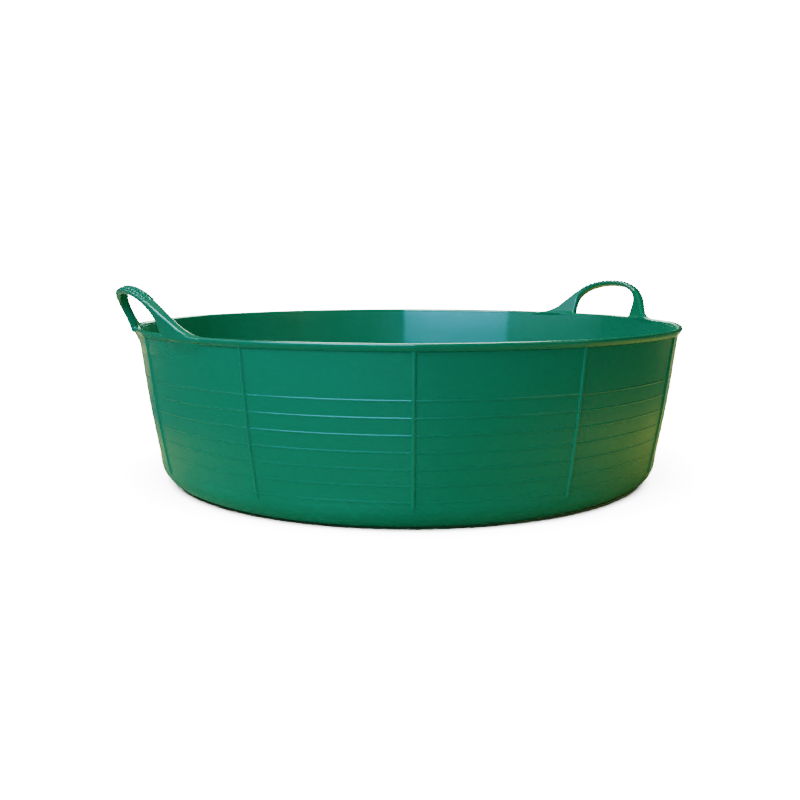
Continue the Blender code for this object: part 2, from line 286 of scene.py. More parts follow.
def shell_profile():
    """Radius and height from the middle of the inside floor, over the wall, to under the floor."""
    heel_centre = (wall_radius(HEEL_RADIUS) - HEEL_RADIUS / math.cos(WALL_LEAN), HEEL_RADIUS)
    ring_inside = FLOOR_EDGE - FOOT_RING_WIDTH
    slope_top = ring_inside - FLOOR_SLOPE
    through = SHELL_THICKNESS / math.cos(WALL_LEAN)
    top = RIM_BOTTOM + WALL_INTO_BEAD
    down = -math.pi / 2.0
    profile = []
    for radius in np.linspace(CENTRE_RADIUS, slope_top, FLOOR_ROWS):
        dimple = DIMPLE_DEPTH * (1.0 - smooth(radius, *DIMPLE_EDGE))
        profile.append((radius, FLOOR_TOP - dimple))
    for part in np.linspace(0.1, 1.0, SLOPE_ROWS):
        fall = FLOOR_RISE * float(smooth(part, 0.0, 1.0))
        profile.append((slope_top + FLOOR_SLOPE * part, FLOOR_TOP - fall))
    flat_start = ring_inside + FLAT_INSIDE[0]
    flat_end = heel_centre[0] - FLAT_INSIDE[1]
    profile += [(radius, SHELL_THICKNESS) for radius in np.linspace(flat_start, flat_end, INNER_FLAT_ROWS)]
    profile += arc_points(heel_centre, HEEL_RADIUS - SHELL_THICKNESS, down, -WALL_LEAN, INNER_HEEL_ROWS)
    inner_foot = profile[-1][1]
    inner_heights = np.linspace(inner_foot, top, INNER_WALL_ROWS)[1:]
    profile += [(wall_radius(z) - through, z) for z in inner_heights]
    profile.append((wall_radius(top) - through / 2.0, top + WALL_LIP_RISE))
    outer_foot = HEEL_RADIUS * (1.0 - math.sin(WALL_LEAN))
    profile += [(wall_radius(z), z) for z in np.linspace(top, outer_foot, OUTER_WALL_ROWS)[:-1]]
    profile += arc_points(heel_centre, HEEL_RADIUS, -WALL_LEAN, down, OUTER_HEEL_ROWS)
    ring_start = heel_centre[0] - FLAT_UNDER
    profile += [(radius, 0.0) for radius in np.linspace(ring_start, ring_inside, FOOT_RING_ROWS)]
    for part in np.linspace(0.1, 1.0, SLOPE_ROWS):
        rise = FLOOR_RISE * float(smooth(part, 0.0, 1.0))
        profile.append((ring_inside - FOOT_RING_SLOPE * part, rise))
    for radius in np.linspace(slope_top, CENTRE_RADIUS, UNDERSIDE_ROWS):
        gate = GATE_HEIGHT * (1.0 - smooth(radius, *GATE_EDGE))
        profile.append((radius, FLOOR_RISE - gate))
    return profile


def turned_rings(profile):
    """Rings of points round Z, one for each profile point, with the wall's panels in them."""
    around = np.arange(TURNS) * 2.0 * math.pi / TURNS
    rings = []
    for radius, height in profile:
        wall_share = smooth(radius, FLOOR_EDGE + WALL_BEGINS[0], FLOOR_EDGE + WALL_BEGINS[1])
        out = radius + (shaped(radius, around, height) - radius) * wall_share
        rings.append(np.stack([out * np.cos(around), out * np.sin(around), height + 0.0 * around], axis=-1))
    return rings


def make_shell():
    """Floor, heel and wall in one skin."""
    return ring_skin("tub_shell", turned_rings(shell_profile()), False)


# Features that grow out of the wall

def both_sides(half):
    """Offsets that end in the middle, followed by their mirror image."""
    half = np.array(half)
    return np.concatenate([half, -half[-2::-1]])


def rounded_rise(offset, half_crest, half_foot):
    """1 on the crest, easing to 0 at the foot."""
    return 1.0 - smooth(np.abs(offset), half_crest, half_foot)


def skirt(offset, half_foot, edge):
    """0 on a rib or line, rising to 1 where its skin has dipped under the wall."""
    return smooth(np.abs(offset), half_foot * edge[0], half_foot * edge[1])


def make_rib(index):
    """Upright rib over the crease between two panels."""
    turn = index * RIB_STEP
    across = both_sides(RIB_SECTION) * RIB_HALF_FOOT
    rise = rounded_rise(across, RIB_HALF_CREST, RIB_HALF_FOOT)
    sunk = skirt(across, RIB_HALF_FOOT, RIB_SKIRT)
    rings = []
    for height in np.linspace(RIB_FOOT_HEIGHT, RIM_BOTTOM + RIB_INTO_BEAD, RIB_ROWS):
        grown = float(smooth(height, RIB_FOOT_HEIGHT, RIB_FOOT_HEIGHT + RIB_RUNOUT))
        proud = RIB_PROUD * rise * grown - RIB_DIP * (sunk + 1.0 - grown)
        around = turn + across / wall_radius(height)
        front = on_wall(around, height, proud)
        back_across = across[::-1][[0, len(across) // 2, -1]]
        back = on_wall(turn + back_across / wall_radius(height), height, -ROOTED)
        rings.append(np.vstack([front, back]))
    return ring_skin("rib_%02d" % (index + 1), rings, False)


def make_level_line(index):
    """Raised filling line round the outside; the lower ones are fainter."""
    middle = LEVEL_HEIGHTS[index]
    around = np.arange(TURNS) * 2.0 * math.pi / TURNS
    phase = LEVEL_WAVER_TURNS * around + LEVEL_WAVER_SHIFT * index
    waver = 1.0 - LEVEL_WAVER + LEVEL_WAVER * np.sin(phase)
    proud = LEVEL_PROUD * (1.0 - LEVEL_FADE * index) * waver
    offsets = both_sides(LEVEL_SECTION) * LEVEL_HALF_FOOT
    loops = []
    for offset in offsets:
        rise = float(rounded_rise(offset, LEVEL_HALF_CREST, LEVEL_HALF_FOOT))
        sunk = float(skirt(offset, LEVEL_HALF_FOOT, LEVEL_SKIRT))
        loops.append(on_wall(around, middle + offset, proud * rise - LEVEL_DIP * sunk))
    loops.append(on_wall(around, middle + offsets[-1], -ROOTED))
    loops.append(on_wall(around, middle + offsets[0], -ROOTED))
    return ring_skin("filling_line_%d" % (index + 1), loops, True)


def make_rim():
    """Rolled bead along the brim."""
    around = np.arange(RIM_TURNS) * 2.0 * math.pi / RIM_TURNS
    turn = np.arange(RIM_SECTION_POINTS) * 2.0 * math.pi / RIM_SECTION_POINTS
    middle = np.array([-RIM_WIDTH / 2.0, -RIM_DEPTH / 2.0])
    near = np.zeros(len(turn))
    far = np.full(len(turn), RIM_WIDTH)
    for _ in range(RIM_HALVINGS):
        reach = (near + far) / 2.0
        inside = rim_distance(middle[0] + reach * np.cos(turn), middle[1] + reach * np.sin(turn)) < 0.0
        near = np.where(inside, reach, near)
        far = np.where(inside, far, reach)
    loops = []
    for away, angle in zip(near, turn):
        out = rim_radius(around) + middle[0] + away * math.cos(angle)
        height = BRIM + middle[1] + away * math.sin(angle)
        loops.append(np.stack([out * np.cos(around), out * np.sin(around), height + 0.0 * around], axis=-1))
    return ring_skin("rim_roll", loops, True)


# The handles: a distance field over distance along the brim, radius and height.
# Sizes are in metres; a pair is where something begins and where it is complete.

HANDLE_LEAN = math.radians(19.0)
HANDLE_RADIUS = RIM_RADIUS - 0.0030  # of the handle's middle sheet, level with the brim
ARCH_TOP = GRIP_TOP - BRIM - 0.001   # over the brim, a little low so that the bumps fit
GRIP_OUT = 0.0054              # from the handle's middle sheet to its outside and inside faces
GRIP_IN = 0.0042
ROOT_OUT = 0.0036
ROOT_IN = 0.0038
GRIP_START = (0.006, 0.030)    # up the legs, from the root's thickness to the grip's
OPENING_HALF = 0.049
OPENING_SIDE = 0.012
OPENING_TOP = ARCH_TOP - 0.0049
OPENING_FOOT = -0.012
OPENING_POWER = 2.15           # 2 is an ellipse, more is squarer
OPENING_FILLET = 0.0015
OPENING_CURVE_POINTS = 90
OPENING_SIDE_POINTS = 40
OUTLINE_STEPS = 24             # steps of the curve from one of the outline's points to the next
PLATE_FOOT = -0.004            # where the legs end, inside the rim
RIDGE_ROUNDING = 0.0019        # of the outside edges
PALM_ROUNDING = 0.0027         # of the inside edges
ROUNDING_CHANGE = (-0.002, 0.002)
RIM_FOLLOW = (0.050, 0.085)    # past the legs, the handle follows the rim's flattening

APRON = 0.0036                 # how far a leg's foot stands out from the wall under the rim
APRON_DROP = (0.001, 0.0190)   # depths under the brim between which it fades
APRON_INNER = (0.041, 0.059)   # its two upright edges, by distance from the handle's middle
APRON_OUTER = (0.084, 0.114)
APRON_INNER_SLANT = 0.6        # how fast the inner edge moves away from the middle with depth
BASE_LOW = -0.0225             # the base is the piece of wall and rim that a handle grows from
BASE_HIGH = -0.0015
BASE_HALF = 0.1245
BASE_FILLET = 0.0022
SUNK = 0.00010                 # how far the hidden base lies under the rim's and wall's skins

BUMP_PITCH = 0.0062            # from one bump to the next along a row
BUMP_ROW = 0.0042              # from one row to the next, over the top and down the outside
BUMP_ROW_START = 0.0016
BUMP_HALF_LENGTH = 0.0024
BUMP_HALF_WIDTH = 0.0018
BUMP_RISE = 0.0012
BUMP_REACH = (0.045, 0.049)    # how far from the middle of the grip the bumps go
BUMP_PALM = (-0.0066, -0.0052)  # where they begin, just past the inside face
BUMP_INSET = (0.0026, 0.0038)  # how far down the outside face they go

FIELD_STEP = 0.0006            # of the lattice that finds the skin, and how far the lattice goes
FIELD_HALF = 0.1266
FIELD_INNER = 0.0128
FIELD_OUTER = 0.0260
FIELD_LOW = -0.0246
FIELD_MARGIN = 0.003
SLOPE_STEP = 0.0002            # the step over which the field's slope is measured
LEAST_SLOPE = 0.3              # keeps a step towards the skin short where the field is flat
SETTLE_PASSES = 2


def outer_outline():
    """Top edge of a handle, from its middle to where it runs out along the brim.

    It is a smooth curve through the points; the first and last of them only steer it.
    """
    points = np.array([
        (-0.020, ARCH_TOP - 0.0012),
        (0.0, ARCH_TOP),
        (0.020, ARCH_TOP - 0.0012),
        (0.038, ARCH_TOP - 0.0062),
        (0.053, ARCH_TOP - 0.0143),
        (0.065, 0.0160),
        (0.077, 0.0064),
        (0.090, 0.0010),
        (0.104, -0.0018),
        (0.116, -0.0062),
        (0.127, -0.0120),
    ])
    line = []
    for i in range(1, len(points) - 2):
        before, here, there, after = points[i - 1:i + 3]
        for part in np.linspace(0.0, 1.0, OUTLINE_STEPS, endpoint=False):
            bend = 2.0 * before - 5.0 * here + 4.0 * there - after
            twist = -before + 3.0 * here - 3.0 * there + after
            line.append(0.5 * (2.0 * here + (there - before) * part + bend * part ** 2 + twist * part ** 3))
    line = np.array(line)
    return np.column_stack([line[:, 0], line[:, 1] / math.cos(HANDLE_LEAN)])


def opening_outline():
    """Edge of the hand hole, from its middle down one side."""
    turn = np.linspace(math.pi / 2.0, 0.0, OPENING_CURVE_POINTS)
    power = 2.0 / OPENING_POWER
    along = OPENING_HALF * np.cos(turn) ** power
    above = OPENING_SIDE + (OPENING_TOP - OPENING_SIDE) * np.sin(turn) ** power
    side = np.linspace(OPENING_SIDE, OPENING_FOOT, OPENING_SIDE_POINTS)[1:]
    along = np.concatenate([along, 0.0 * side + OPENING_HALF])
    above = np.concatenate([above, side])
    return np.column_stack([along, above / math.cos(HANDLE_LEAN)])


class Chart:
    """Values on a flat lattice over (distance along the brim, distance up the handle)."""

    step = 0.0004   # metres, as the low corner's place is
    low = np.array([0.0, -0.030])
    counts = (320, 200)

    def __init__(self, values):
        self.values = values

    @classmethod
    def lattice(cls):
        """Where the values lie: distance along the brim, and distance up the handle."""
        along = cls.low[0] + cls.step * np.arange(cls.counts[0])
        up = cls.low[1] + cls.step * np.arange(cls.counts[1])
        return np.meshgrid(along, up, indexing="ij")

    def __call__(self, along, up):
        """The value at any place, blended from the four lattice points round it."""
        last = 1.001   # keeps i + 1 and j + 1 on the lattice
        x = np.clip((along - self.low[0]) / self.step, 0.0, self.counts[0] - last)
        y = np.clip((up - self.low[1]) / self.step, 0.0, self.counts[1] - last)
        i = x.astype(int)
        j = y.astype(int)
        fx = x - i
        fy = y - j
        v = self.values
        near = v[i, j] * (1.0 - fy) + v[i, j + 1] * fy
        far = v[i + 1, j] * (1.0 - fy) + v[i + 1, j + 1] * fy
        return near * (1.0 - fx) + far * fx


def line_charts(line):
    """Charts of the distance to a line, signed by its side, and of the length along it."""
    along, up = Chart.lattice()
    best = np.full(along.shape, np.inf)
    side = np.zeros(along.shape)
    length = np.zeros(along.shape)
    run = 0.0
    for start, end in zip(line, line[1:]):
        step = end - start
        size = float(np.hypot(*step))
        px = along - start[0]
        py = up - start[1]
        part = np.clip((px * step[0] + py * step[1]) / size ** 2, 0.0, 1.0)
        away = np.hypot(px - part * step[0], py - part * step[1])
        closer = away < best
        best = np.where(closer, away, best)
        turn = np.sign(step[0] * py - step[1] * px)
        side = np.where(closer, turn, side)
        length = np.where(closer, run + part * size, length)
        run += size
    return Chart(best * side), Chart(length)


OUTER_CHART, OUTER_LENGTH = line_charts(outer_outline())
OPENING_CHART, _ = line_charts(opening_outline())


def grip_bumps(inset, through, length):
    """Height of the anti-slip bumps on the top and the outside of the grip."""
    unrolled = through + inset - BUMP_ROW_START
    row = np.round(unrolled / BUMP_ROW)
    shifted = length / BUMP_PITCH + 0.5 * np.mod(row, 2.0)
    x = (shifted - np.round(shifted)) * BUMP_PITCH
    y = unrolled - row * BUMP_ROW
    near = np.clip(1.0 - (x / BUMP_HALF_LENGTH) ** 2 - (y / BUMP_HALF_WIDTH) ** 2, 0.0, 1.0)
    where = smooth(through, *BUMP_PALM) * (1.0 - smooth(inset, *BUMP_INSET))
    where = where * (1.0 - smooth(length, *BUMP_REACH))
    return BUMP_RISE * near * (2.0 - near) * where


def handle_plate(side, out, height):
    """Distance to the arch and its legs: a leaning plate with rounded edges, and its bumps."""
    up = out * math.sin(HANDLE_LEAN) + height * math.cos(HANDLE_LEAN)
    through = out * math.cos(HANDLE_LEAN) - height * math.sin(HANDLE_LEAN)
    above_outer = OUTER_CHART(side, up)
    in_opening = -OPENING_CHART(side, up)
    flat = soft_max(above_outer, in_opening, OPENING_FILLET)
    flat = np.maximum(flat, PLATE_FOOT - up)
    grown = smooth(up, *GRIP_START)
    outside = through - ROOT_OUT - (GRIP_OUT - ROOT_OUT) * grown
    inside = -through - ROOT_IN - (GRIP_IN - ROOT_IN) * grown
    rounding = PALM_ROUNDING + (RIDGE_ROUNDING - PALM_ROUNDING) * smooth(through, *ROUNDING_CHANGE)
    past_edge = flat + rounding
    past_face = np.maximum(outside, inside) + rounding
    corner = np.hypot(np.maximum(past_edge, 0.0), np.maximum(past_face, 0.0))
    plate = np.minimum(np.maximum(past_edge, past_face), 0.0) + corner - rounding
    return plate - grip_bumps(-above_outer, through, OUTER_LENGTH(side, up))


def handle_base(side, around, radius, height):
    """Distance to the stretch of wall and rim that a handle grows from, with a leg's apron on it."""
    skin = shaped(wall_radius(BRIM + height), around, BRIM + height)
    foot = smooth(side + APRON_INNER_SLANT * height, *APRON_INNER) * (1.0 - smooth(side, *APRON_OUTER))
    foot = foot * (1.0 - smooth(-height, *APRON_DROP))
    proud = (APRON + SUNK) * foot - SUNK
    outer = (radius - skin - proud) * math.cos(WALL_LEAN)
    inner = (skin - radius) * math.cos(WALL_LEAN) - SHELL_THICKNESS + SUNK
    ends = np.maximum(BASE_LOW - height, height - BASE_HIGH)
    wall = np.maximum(np.maximum(outer, inner), ends)
    return np.minimum(wall, rim_distance(radius - rim_radius(around), height) + SUNK)


def handle_field(along, radius, height):
    """Distance to a handle's skin: below 0 inside. height is measured from the brim."""
    side = np.abs(along)
    around = along / RIM_RADIUS
    drawn_in = (RIM_RADIUS - rim_radius(around)) * smooth(side, *RIM_FOLLOW)
    plate = handle_plate(side, radius - HANDLE_RADIUS + drawn_in, height)
    base = handle_base(side, around, radius, height)
    return np.maximum(soft_min(plate, base, BASE_FILLET), side - BASE_HALF)


def surface_net(field, low, step):
    """Points and quads of the surface where a lattice of distances crosses 0."""
    inside = field < 0.0
    cells = np.full(tuple(n - 1 for n in field.shape), -1, int)
    crossings = []
    for axis in range(3):
        first = [slice(None)] * 3
        second = [slice(None)] * 3
        first[axis] = slice(None, -1)
        second[axis] = slice(1, None)
        a = field[tuple(first)]
        b = field[tuple(second)]
        cross = inside[tuple(first)] != inside[tuple(second)]
        place = np.argwhere(cross)
        part = a[cross] / (a[cross] - b[cross])
        point = place.astype(float)
        point[:, axis] += part
        crossings.append((axis, place, point, inside[tuple(first)][cross]))
    touched = []
    for axis, place, point, _ in crossings:
        b, c = (other for other in range(3) if other != axis)
        for db in (0, -1):
            for dc in (0, -1):
                cell = place.copy()
                cell[:, b] += db
                cell[:, c] += dc
                touched.append((cell, point))
    all_cells = np.vstack([cell for cell, _ in touched])
    all_points = np.vstack([point for _, point in touched])
    shape = np.array(cells.shape)
    keep = np.all((all_cells >= 0) & (all_cells < shape), axis=1)
    keys = np.ravel_multi_index(all_cells[keep].T, cells.shape)
    unique, where = np.unique(keys, return_inverse=True)
    total = np.zeros((len(unique), 3))
    np.add.at(total, where, all_points[keep])
    count = np.bincount(where)
    points = total / count[:, None]
    cells.ravel()[unique] = np.arange(len(unique))
    quads = []
    for axis, place, _, starts_inside in crossings:
        b = (axis + 1) % 3
        c = (axis + 2) % 3
        fine = (place[:, b] > 0) & (place[:, c] > 0) & (place[:, b] < shape[b]) & (place[:, c] < shape[c])
        place = place[fine]
        corners = []
        for db, dc in ((0, 0), (-1, 0), (-1, -1), (0, -1)):
            cell = place.copy()
            cell[:, b] += db
            cell[:, c] += dc
            corners.append(cells[tuple(cell.T)])
        quad = np.stack(corners, axis=1)
        flip = ~starts_inside[fine]
        quad[flip] = quad[flip][:, ::-1]
        quads.append(quad)
    return low + points * step, np.vstack(quads)


def settle(points):
    """Move points onto the handle's exact skin."""
    for _ in range(SETTLE_PASSES):
        value = handle_field(*points.T)
        slope = []
        for axis in range(3):
            ahead = points.copy()
            behind = points.copy()
            ahead[:, axis] += SLOPE_STEP
            behind[:, axis] -= SLOPE_STEP
            slope.append((handle_field(*ahead.T) - handle_field(*behind.T)) / (2.0 * SLOPE_STEP))
        slope = np.stack(slope, axis=1)
        size = np.maximum((slope ** 2).sum(axis=1), LEAST_SLOPE)
        move = -slope * (value / size)[:, None]
        points = points + np.clip(move, -FIELD_STEP / 2.0, FIELD_STEP / 2.0)
    return points


def make_handles():
    """Both handles: one skin, and the same skin turned half way round the tub."""
    low = np.array([-FIELD_HALF, HANDLE_RADIUS - FIELD_INNER, FIELD_LOW])
    high = np.array([FIELD_HALF, HANDLE_RADIUS + FIELD_OUTER, ARCH_TOP + FIELD_MARGIN])
    counts = np.ceil((high - low) / FIELD_STEP).astype(int) + 1
    axes = [low[i] + FIELD_STEP * np.arange(counts[i]) for i in range(3)]
    field = handle_field(*np.meshgrid(*axes, indexing="ij"))
    points, quads = surface_net(field, low, FIELD_STEP)
    points = settle(points)
    around = points[:, 0] / RIM_RADIUS
    out = points[:, 1]
    placed = np.stack([out * np.cos(around), out * np.sin(around), BRIM + points[:, 2]], axis=1)
    faces = [tuple(quad) for quad in quads.tolist()]
    made = {}
    for hand, turn in (("right", 0.0), ("left", math.pi)):
        obj = mesh_object(hand + "_handle_moulding", placed, faces, smooth_angle=math.radians(60.0))
        obj.data.transform(Matrix.Rotation(turn, 4, "Z"))
        made[hand] = obj
    return made


# Materials: a noise's scale is in swells a metre, and a range is of its values

GREEN = (0.0030, 0.205, 0.098, 1.0)
DEEP_GREEN = (0.0030, 0.182, 0.083, 1.0)
WORN_GREEN = (0.0050, 0.270, 0.150, 1.0)
PLASTIC_IOR = 1.51
USUAL = (0.25, 0.75)           # the range that a noise mostly keeps to
DRIFT_SCALE = 7.0
FLOW_SCALE = 26.0
FLOW_STRETCH = (1.0, 1.0, 0.18)
FLOW_SHARE = 0.5               # how much of the drift the flow marks can take away
SCRATCH_SCALE = 90.0
SCRATCH_STRETCH = (1.0, 1.0, 3.0)
SCRATCH_RANGE = (0.45, 0.85)
PATCH_SCALE = 14.0
PATCH_RANGE = (0.40, 0.80)
FOOT_WEAR = (0.0, 0.05)        # heights between which the foot's heavy wear gives way
UPPER_WEAR = 0.35              # to this share of it
CLOUD_SCALE = 34.0
CLOUD_DROP = 0.02              # how far the roughness goes below and above its usual value
CLOUD_RISE = 0.04
WORN_ROUGHNESS = 0.10          # how much rougher wear makes it
PEEL_SCALE = 95.0
GRAIN_SCALE = 1500.0
TURNED_SCALE = 30.0
TURNED_STRETCH = (0.25, 0.25, 16.0)
RELIEF_STRENGTH = 0.22         # of the bump that peel, grain and tool marks make
RELIEF_DEPTH = 0.0004


def link(tree, source, target):
    """A link from an output to an input."""
    tree.links.new(source, target)


def noise(tree, coordinate, scale, detail=1.0, stretch=(1.0, 1.0, 1.0)):
    """A noise texture in the object's own coordinates."""
    mapping = tree.nodes.new("ShaderNodeMapping")
    mapping.inputs["Scale"].default_value = stretch
    link(tree, coordinate, mapping.inputs["Vector"])
    texture = tree.nodes.new("ShaderNodeTexNoise")
    texture.inputs["Scale"].default_value = scale
    texture.inputs["Detail"].default_value = detail
    link(tree, mapping.outputs["Vector"], texture.inputs["Vector"])
    return texture.outputs["Fac"]


def remap(tree, value, reads, gives=(0.0, 1.0)):
    """A value stretched from one range to another, and held inside it."""
    node = tree.nodes.new("ShaderNodeMapRange")
    node.clamp = True
    node.inputs["From Min"].default_value = reads[0]
    node.inputs["From Max"].default_value = reads[1]
    node.inputs["To Min"].default_value = gives[0]
    node.inputs["To Max"].default_value = gives[1]
    link(tree, value, node.inputs["Value"])
    return node.outputs["Result"]


def combine(tree, operation, a, b):
    """A math node; a and b are numbers or other nodes' outputs."""
    node = tree.nodes.new("ShaderNodeMath")
    node.operation = operation
    for socket, value in zip(node.inputs, (a, b)):
        if isinstance(value, (int, float)):
            socket.default_value = value
        else:
            link(tree, value, socket)
    return node.outputs["Value"]


def mix_colour(tree, share, a, b):
    """Colour a where share is 0, and b where it is 1. Sockets 6 and 7 and output 2 are the colours."""
    node = tree.nodes.new("ShaderNodeMix")
    node.data_type = "RGBA"
    link(tree, share, node.inputs["Factor"])
    for socket, value in ((node.inputs[6], a), (node.inputs[7], b)):
        if isinstance(value, tuple):
            socket.default_value = value
        else:
            link(tree, value, socket)
    return node.outputs[2]


def plastic_wear(tree, place, scuffs):
    """0 on sound plastic, more on the scratches of the rubbed patches, most of all near the foot."""
    height = tree.nodes.new("ShaderNodeSeparateXYZ")
    link(tree, place, height.inputs["Vector"])
    low_band = remap(tree, height.outputs["Z"], FOOT_WEAR, (1.0, UPPER_WEAR))
    scratch = remap(tree, noise(tree, place, SCRATCH_SCALE, stretch=SCRATCH_STRETCH), SCRATCH_RANGE)
    patch = remap(tree, noise(tree, place, PATCH_SCALE), PATCH_RANGE)
    worn = combine(tree, "MULTIPLY", scratch, patch)
    return combine(tree, "MULTIPLY", worn, combine(tree, "MULTIPLY", low_band, scuffs))


def plastic_colour(tree, place, worn):
    """Slow drift between two greens, with flow marks in it, and paler where it is worn."""
    drift = remap(tree, noise(tree, place, DRIFT_SCALE), USUAL)
    flow = remap(tree, noise(tree, place, FLOW_SCALE, stretch=FLOW_STRETCH), USUAL, (0.0, FLOW_SHARE))
    tone = combine(tree, "MULTIPLY", drift, combine(tree, "ADD", flow, 1.0 - FLOW_SHARE))
    colour = mix_colour(tree, tone, DEEP_GREEN, GREEN)
    return mix_colour(tree, worn, colour, WORN_GREEN)


def plastic_roughness(tree, place, worn, usual):
    """Cloudy roughness, and rougher where it is worn."""
    cloud = noise(tree, place, CLOUD_SCALE, detail=2.0)
    cloud = remap(tree, cloud, USUAL, (usual - CLOUD_DROP, usual + CLOUD_RISE))
    return combine(tree, "ADD", cloud, combine(tree, "MULTIPLY", worn, WORN_ROUGHNESS))


def plastic_relief(tree, place, grain, marks):
    """Bump of the skin: orange peel, fine grain and the mould's turned tool marks."""
    peel = noise(tree, place, PEEL_SCALE, detail=2.0)
    fine = noise(tree, place, GRAIN_SCALE, detail=2.0)
    turned = noise(tree, place, TURNED_SCALE, detail=3.0, stretch=TURNED_STRETCH)
    surface = combine(tree, "ADD", peel, combine(tree, "MULTIPLY", fine, grain))
    surface = combine(tree, "ADD", surface, combine(tree, "MULTIPLY", turned, marks))
    bump = tree.nodes.new("ShaderNodeBump")
    bump.inputs["Strength"].default_value = RELIEF_STRENGTH
    bump.inputs["Distance"].default_value = RELIEF_DEPTH
    link(tree, surface, bump.inputs["Height"])
    return bump.outputs["Normal"]


def moulded_plastic(name, roughness, grain, marks, scuffs):
    """Soft polyethylene; grain, marks and scuffs are the strengths of its fine marks and its wear."""
    material = bpy.data.materials.new(name)
    material.use_nodes = True
    tree = material.node_tree
    shader = tree.nodes["Principled BSDF"]
    place = tree.nodes.new("ShaderNodeTexCoord").outputs["Object"]
    worn = plastic_wear(tree, place, scuffs)
    link(tree, plastic_colour(tree, place, worn), shader.inputs["Base Color"])
    link(tree, plastic_roughness(tree, place, worn, roughness), shader.inputs["Roughness"])
    link(tree, plastic_relief(tree, place, grain, marks), shader.inputs["Normal"])
    shader.inputs["IOR"].default_value = PLASTIC_IOR
    return material


def finish_piece(obj, material):
    """The object, with its one material."""
    obj.data.materials.clear()
    obj.data.materials.append(material)
    return obj


# The object


def build_tub():
    """Every piece, with its material, hiding the frame's nodes it stands for; all but the handles go on the
    tub's body.
    """
    shell_plastic = moulded_plastic(
        "soft_shell_plastic", roughness=0.305, grain=0.015, marks=0.20, scuffs=0.6)
    edge_plastic = moulded_plastic(
        "soft_edge_plastic", roughness=0.215, grain=0.002, marks=0.02, scuffs=0.15)
    handle_plastic = moulded_plastic(
        "soft_handle_plastic", roughness=0.215, grain=0.005, marks=0.02, scuffs=0.15)
    shell = finish_piece(make_shell(), shell_plastic)
    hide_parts("base_floor", "wall_heel", "side_wall")
    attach(shell, "tub")
    rim = finish_piece(make_rim(), edge_plastic)
    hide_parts("rim_bead")
    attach(rim, "tub")
    for index, node in enumerate(RIB_NODES):
        rib = finish_piece(make_rib(index), shell_plastic)
        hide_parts(node)
        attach(rib, "tub")
    for index, node in enumerate(LEVEL_NODES):
        line = finish_piece(make_level_line(index), shell_plastic)
        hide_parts(node)
        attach(line, "tub")
    for hand, handle in make_handles().items():
        finish_piece(handle, handle_plastic)
        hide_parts(hand + "_handle_grip", hand + "_handle_front_root", hand + "_handle_rear_root")
        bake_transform(handle)


# The studio, in metres and degrees

CAMERA_AZIMUTH = math.radians(-31.07)
CAMERA_DISTANCE = 0.9725
CAMERA_HEIGHT = 0.2158
CAMERA_PITCH = math.radians(8.43)
CAMERA_YAW = math.radians(-0.49)
CAMERA_LENS = 40.72
BACKDROP_BRIGHTNESS = 26.0
BACKDROP_RADIUS = 14.0
FLOOR_RADIUS = 12.0
FLOOR_DROP = 0.0006            # how far under the tub the floor lies
PAPER_GREY = 0.85
OVERHEAD_SPREAD = math.radians(70.0)
OVERHEAD_TILT = (math.radians(12.0), math.radians(-10.0), 0.0)
AIR_COLOUR = (0.50, 0.90, 0.75, 1.0)
AIR_BRIGHTNESS = 0.06

# The table that the tub's sides reflect, whose colours are painted reflections, bounce light and shade for
# the tub; X is to the camera's right and Y away from it
TABLE_RADIUS = 4.0
TABLE_DROP = 0.0003            # over the floor, and out of the camera's sight
TABLE_ROUGHNESS = 0.9
# Painted bounce light and reflection for the tub: green in front, warm beside it, painted shade further out,
# bright far behind
FRONT_BOUNCE_COLOUR = (0.22, 0.55, 0.27, 1.0)
WARM_BOUNCE_COLOUR = (0.80, 0.62, 0.14, 1.0)
SHADE_COLOUR = (0.07, 0.20, 0.12, 1.0)
FAR_BRIGHT_COLOUR = (0.85, 0.66, 0.28, 1.0)
WARM_BOUNCE_RIGHT = 0.40              # how much sooner the warm painted reflection begins to the right
WARM_BOUNCE_ASIDE = 0.70              # and to either side
WARM_BOUNCE_EDGE = (-0.26, 0.17)
SHADE_RIGHT = 0.15             # how much later the shade begins to the right
SHADE_BEHIND = 0.30            # and behind the tub
SHADE_EDGE = (0.36, 0.50)
FAR_BRIGHT_EDGE = (0.30, 0.55)


def compass(azimuth):
    """Level direction from the tub's middle; azimuth 0 is towards -Y and 90 degrees towards +X."""
    return Vector((math.sin(azimuth), -math.cos(azimuth), 0.0))


def make_camera():
    """The camera, a little to the tub's left, just above its brim and looking slightly down."""
    data = bpy.data.cameras.new("camera")
    data.lens = CAMERA_LENS
    data.clip_start = 0.05
    data.clip_end = 60.0
    camera = bpy.data.objects.new("camera", data)
    bpy.context.scene.collection.objects.link(camera)
    camera.location = compass(CAMERA_AZIMUTH) * CAMERA_DISTANCE + Vector((0.0, 0.0, CAMERA_HEIGHT))
    ahead = -compass(CAMERA_AZIMUTH)
    right = Vector((ahead.y, -ahead.x, 0.0))
    level = ahead * math.cos(CAMERA_YAW) + right * math.sin(CAMERA_YAW)
    look = level * math.cos(CAMERA_PITCH) - Vector((0.0, 0.0, math.sin(CAMERA_PITCH)))
    camera.rotation_mode = "QUATERNION"
    camera.rotation_quaternion = look.to_track_quat("-Z", "Y")
    bpy.context.scene.camera = camera


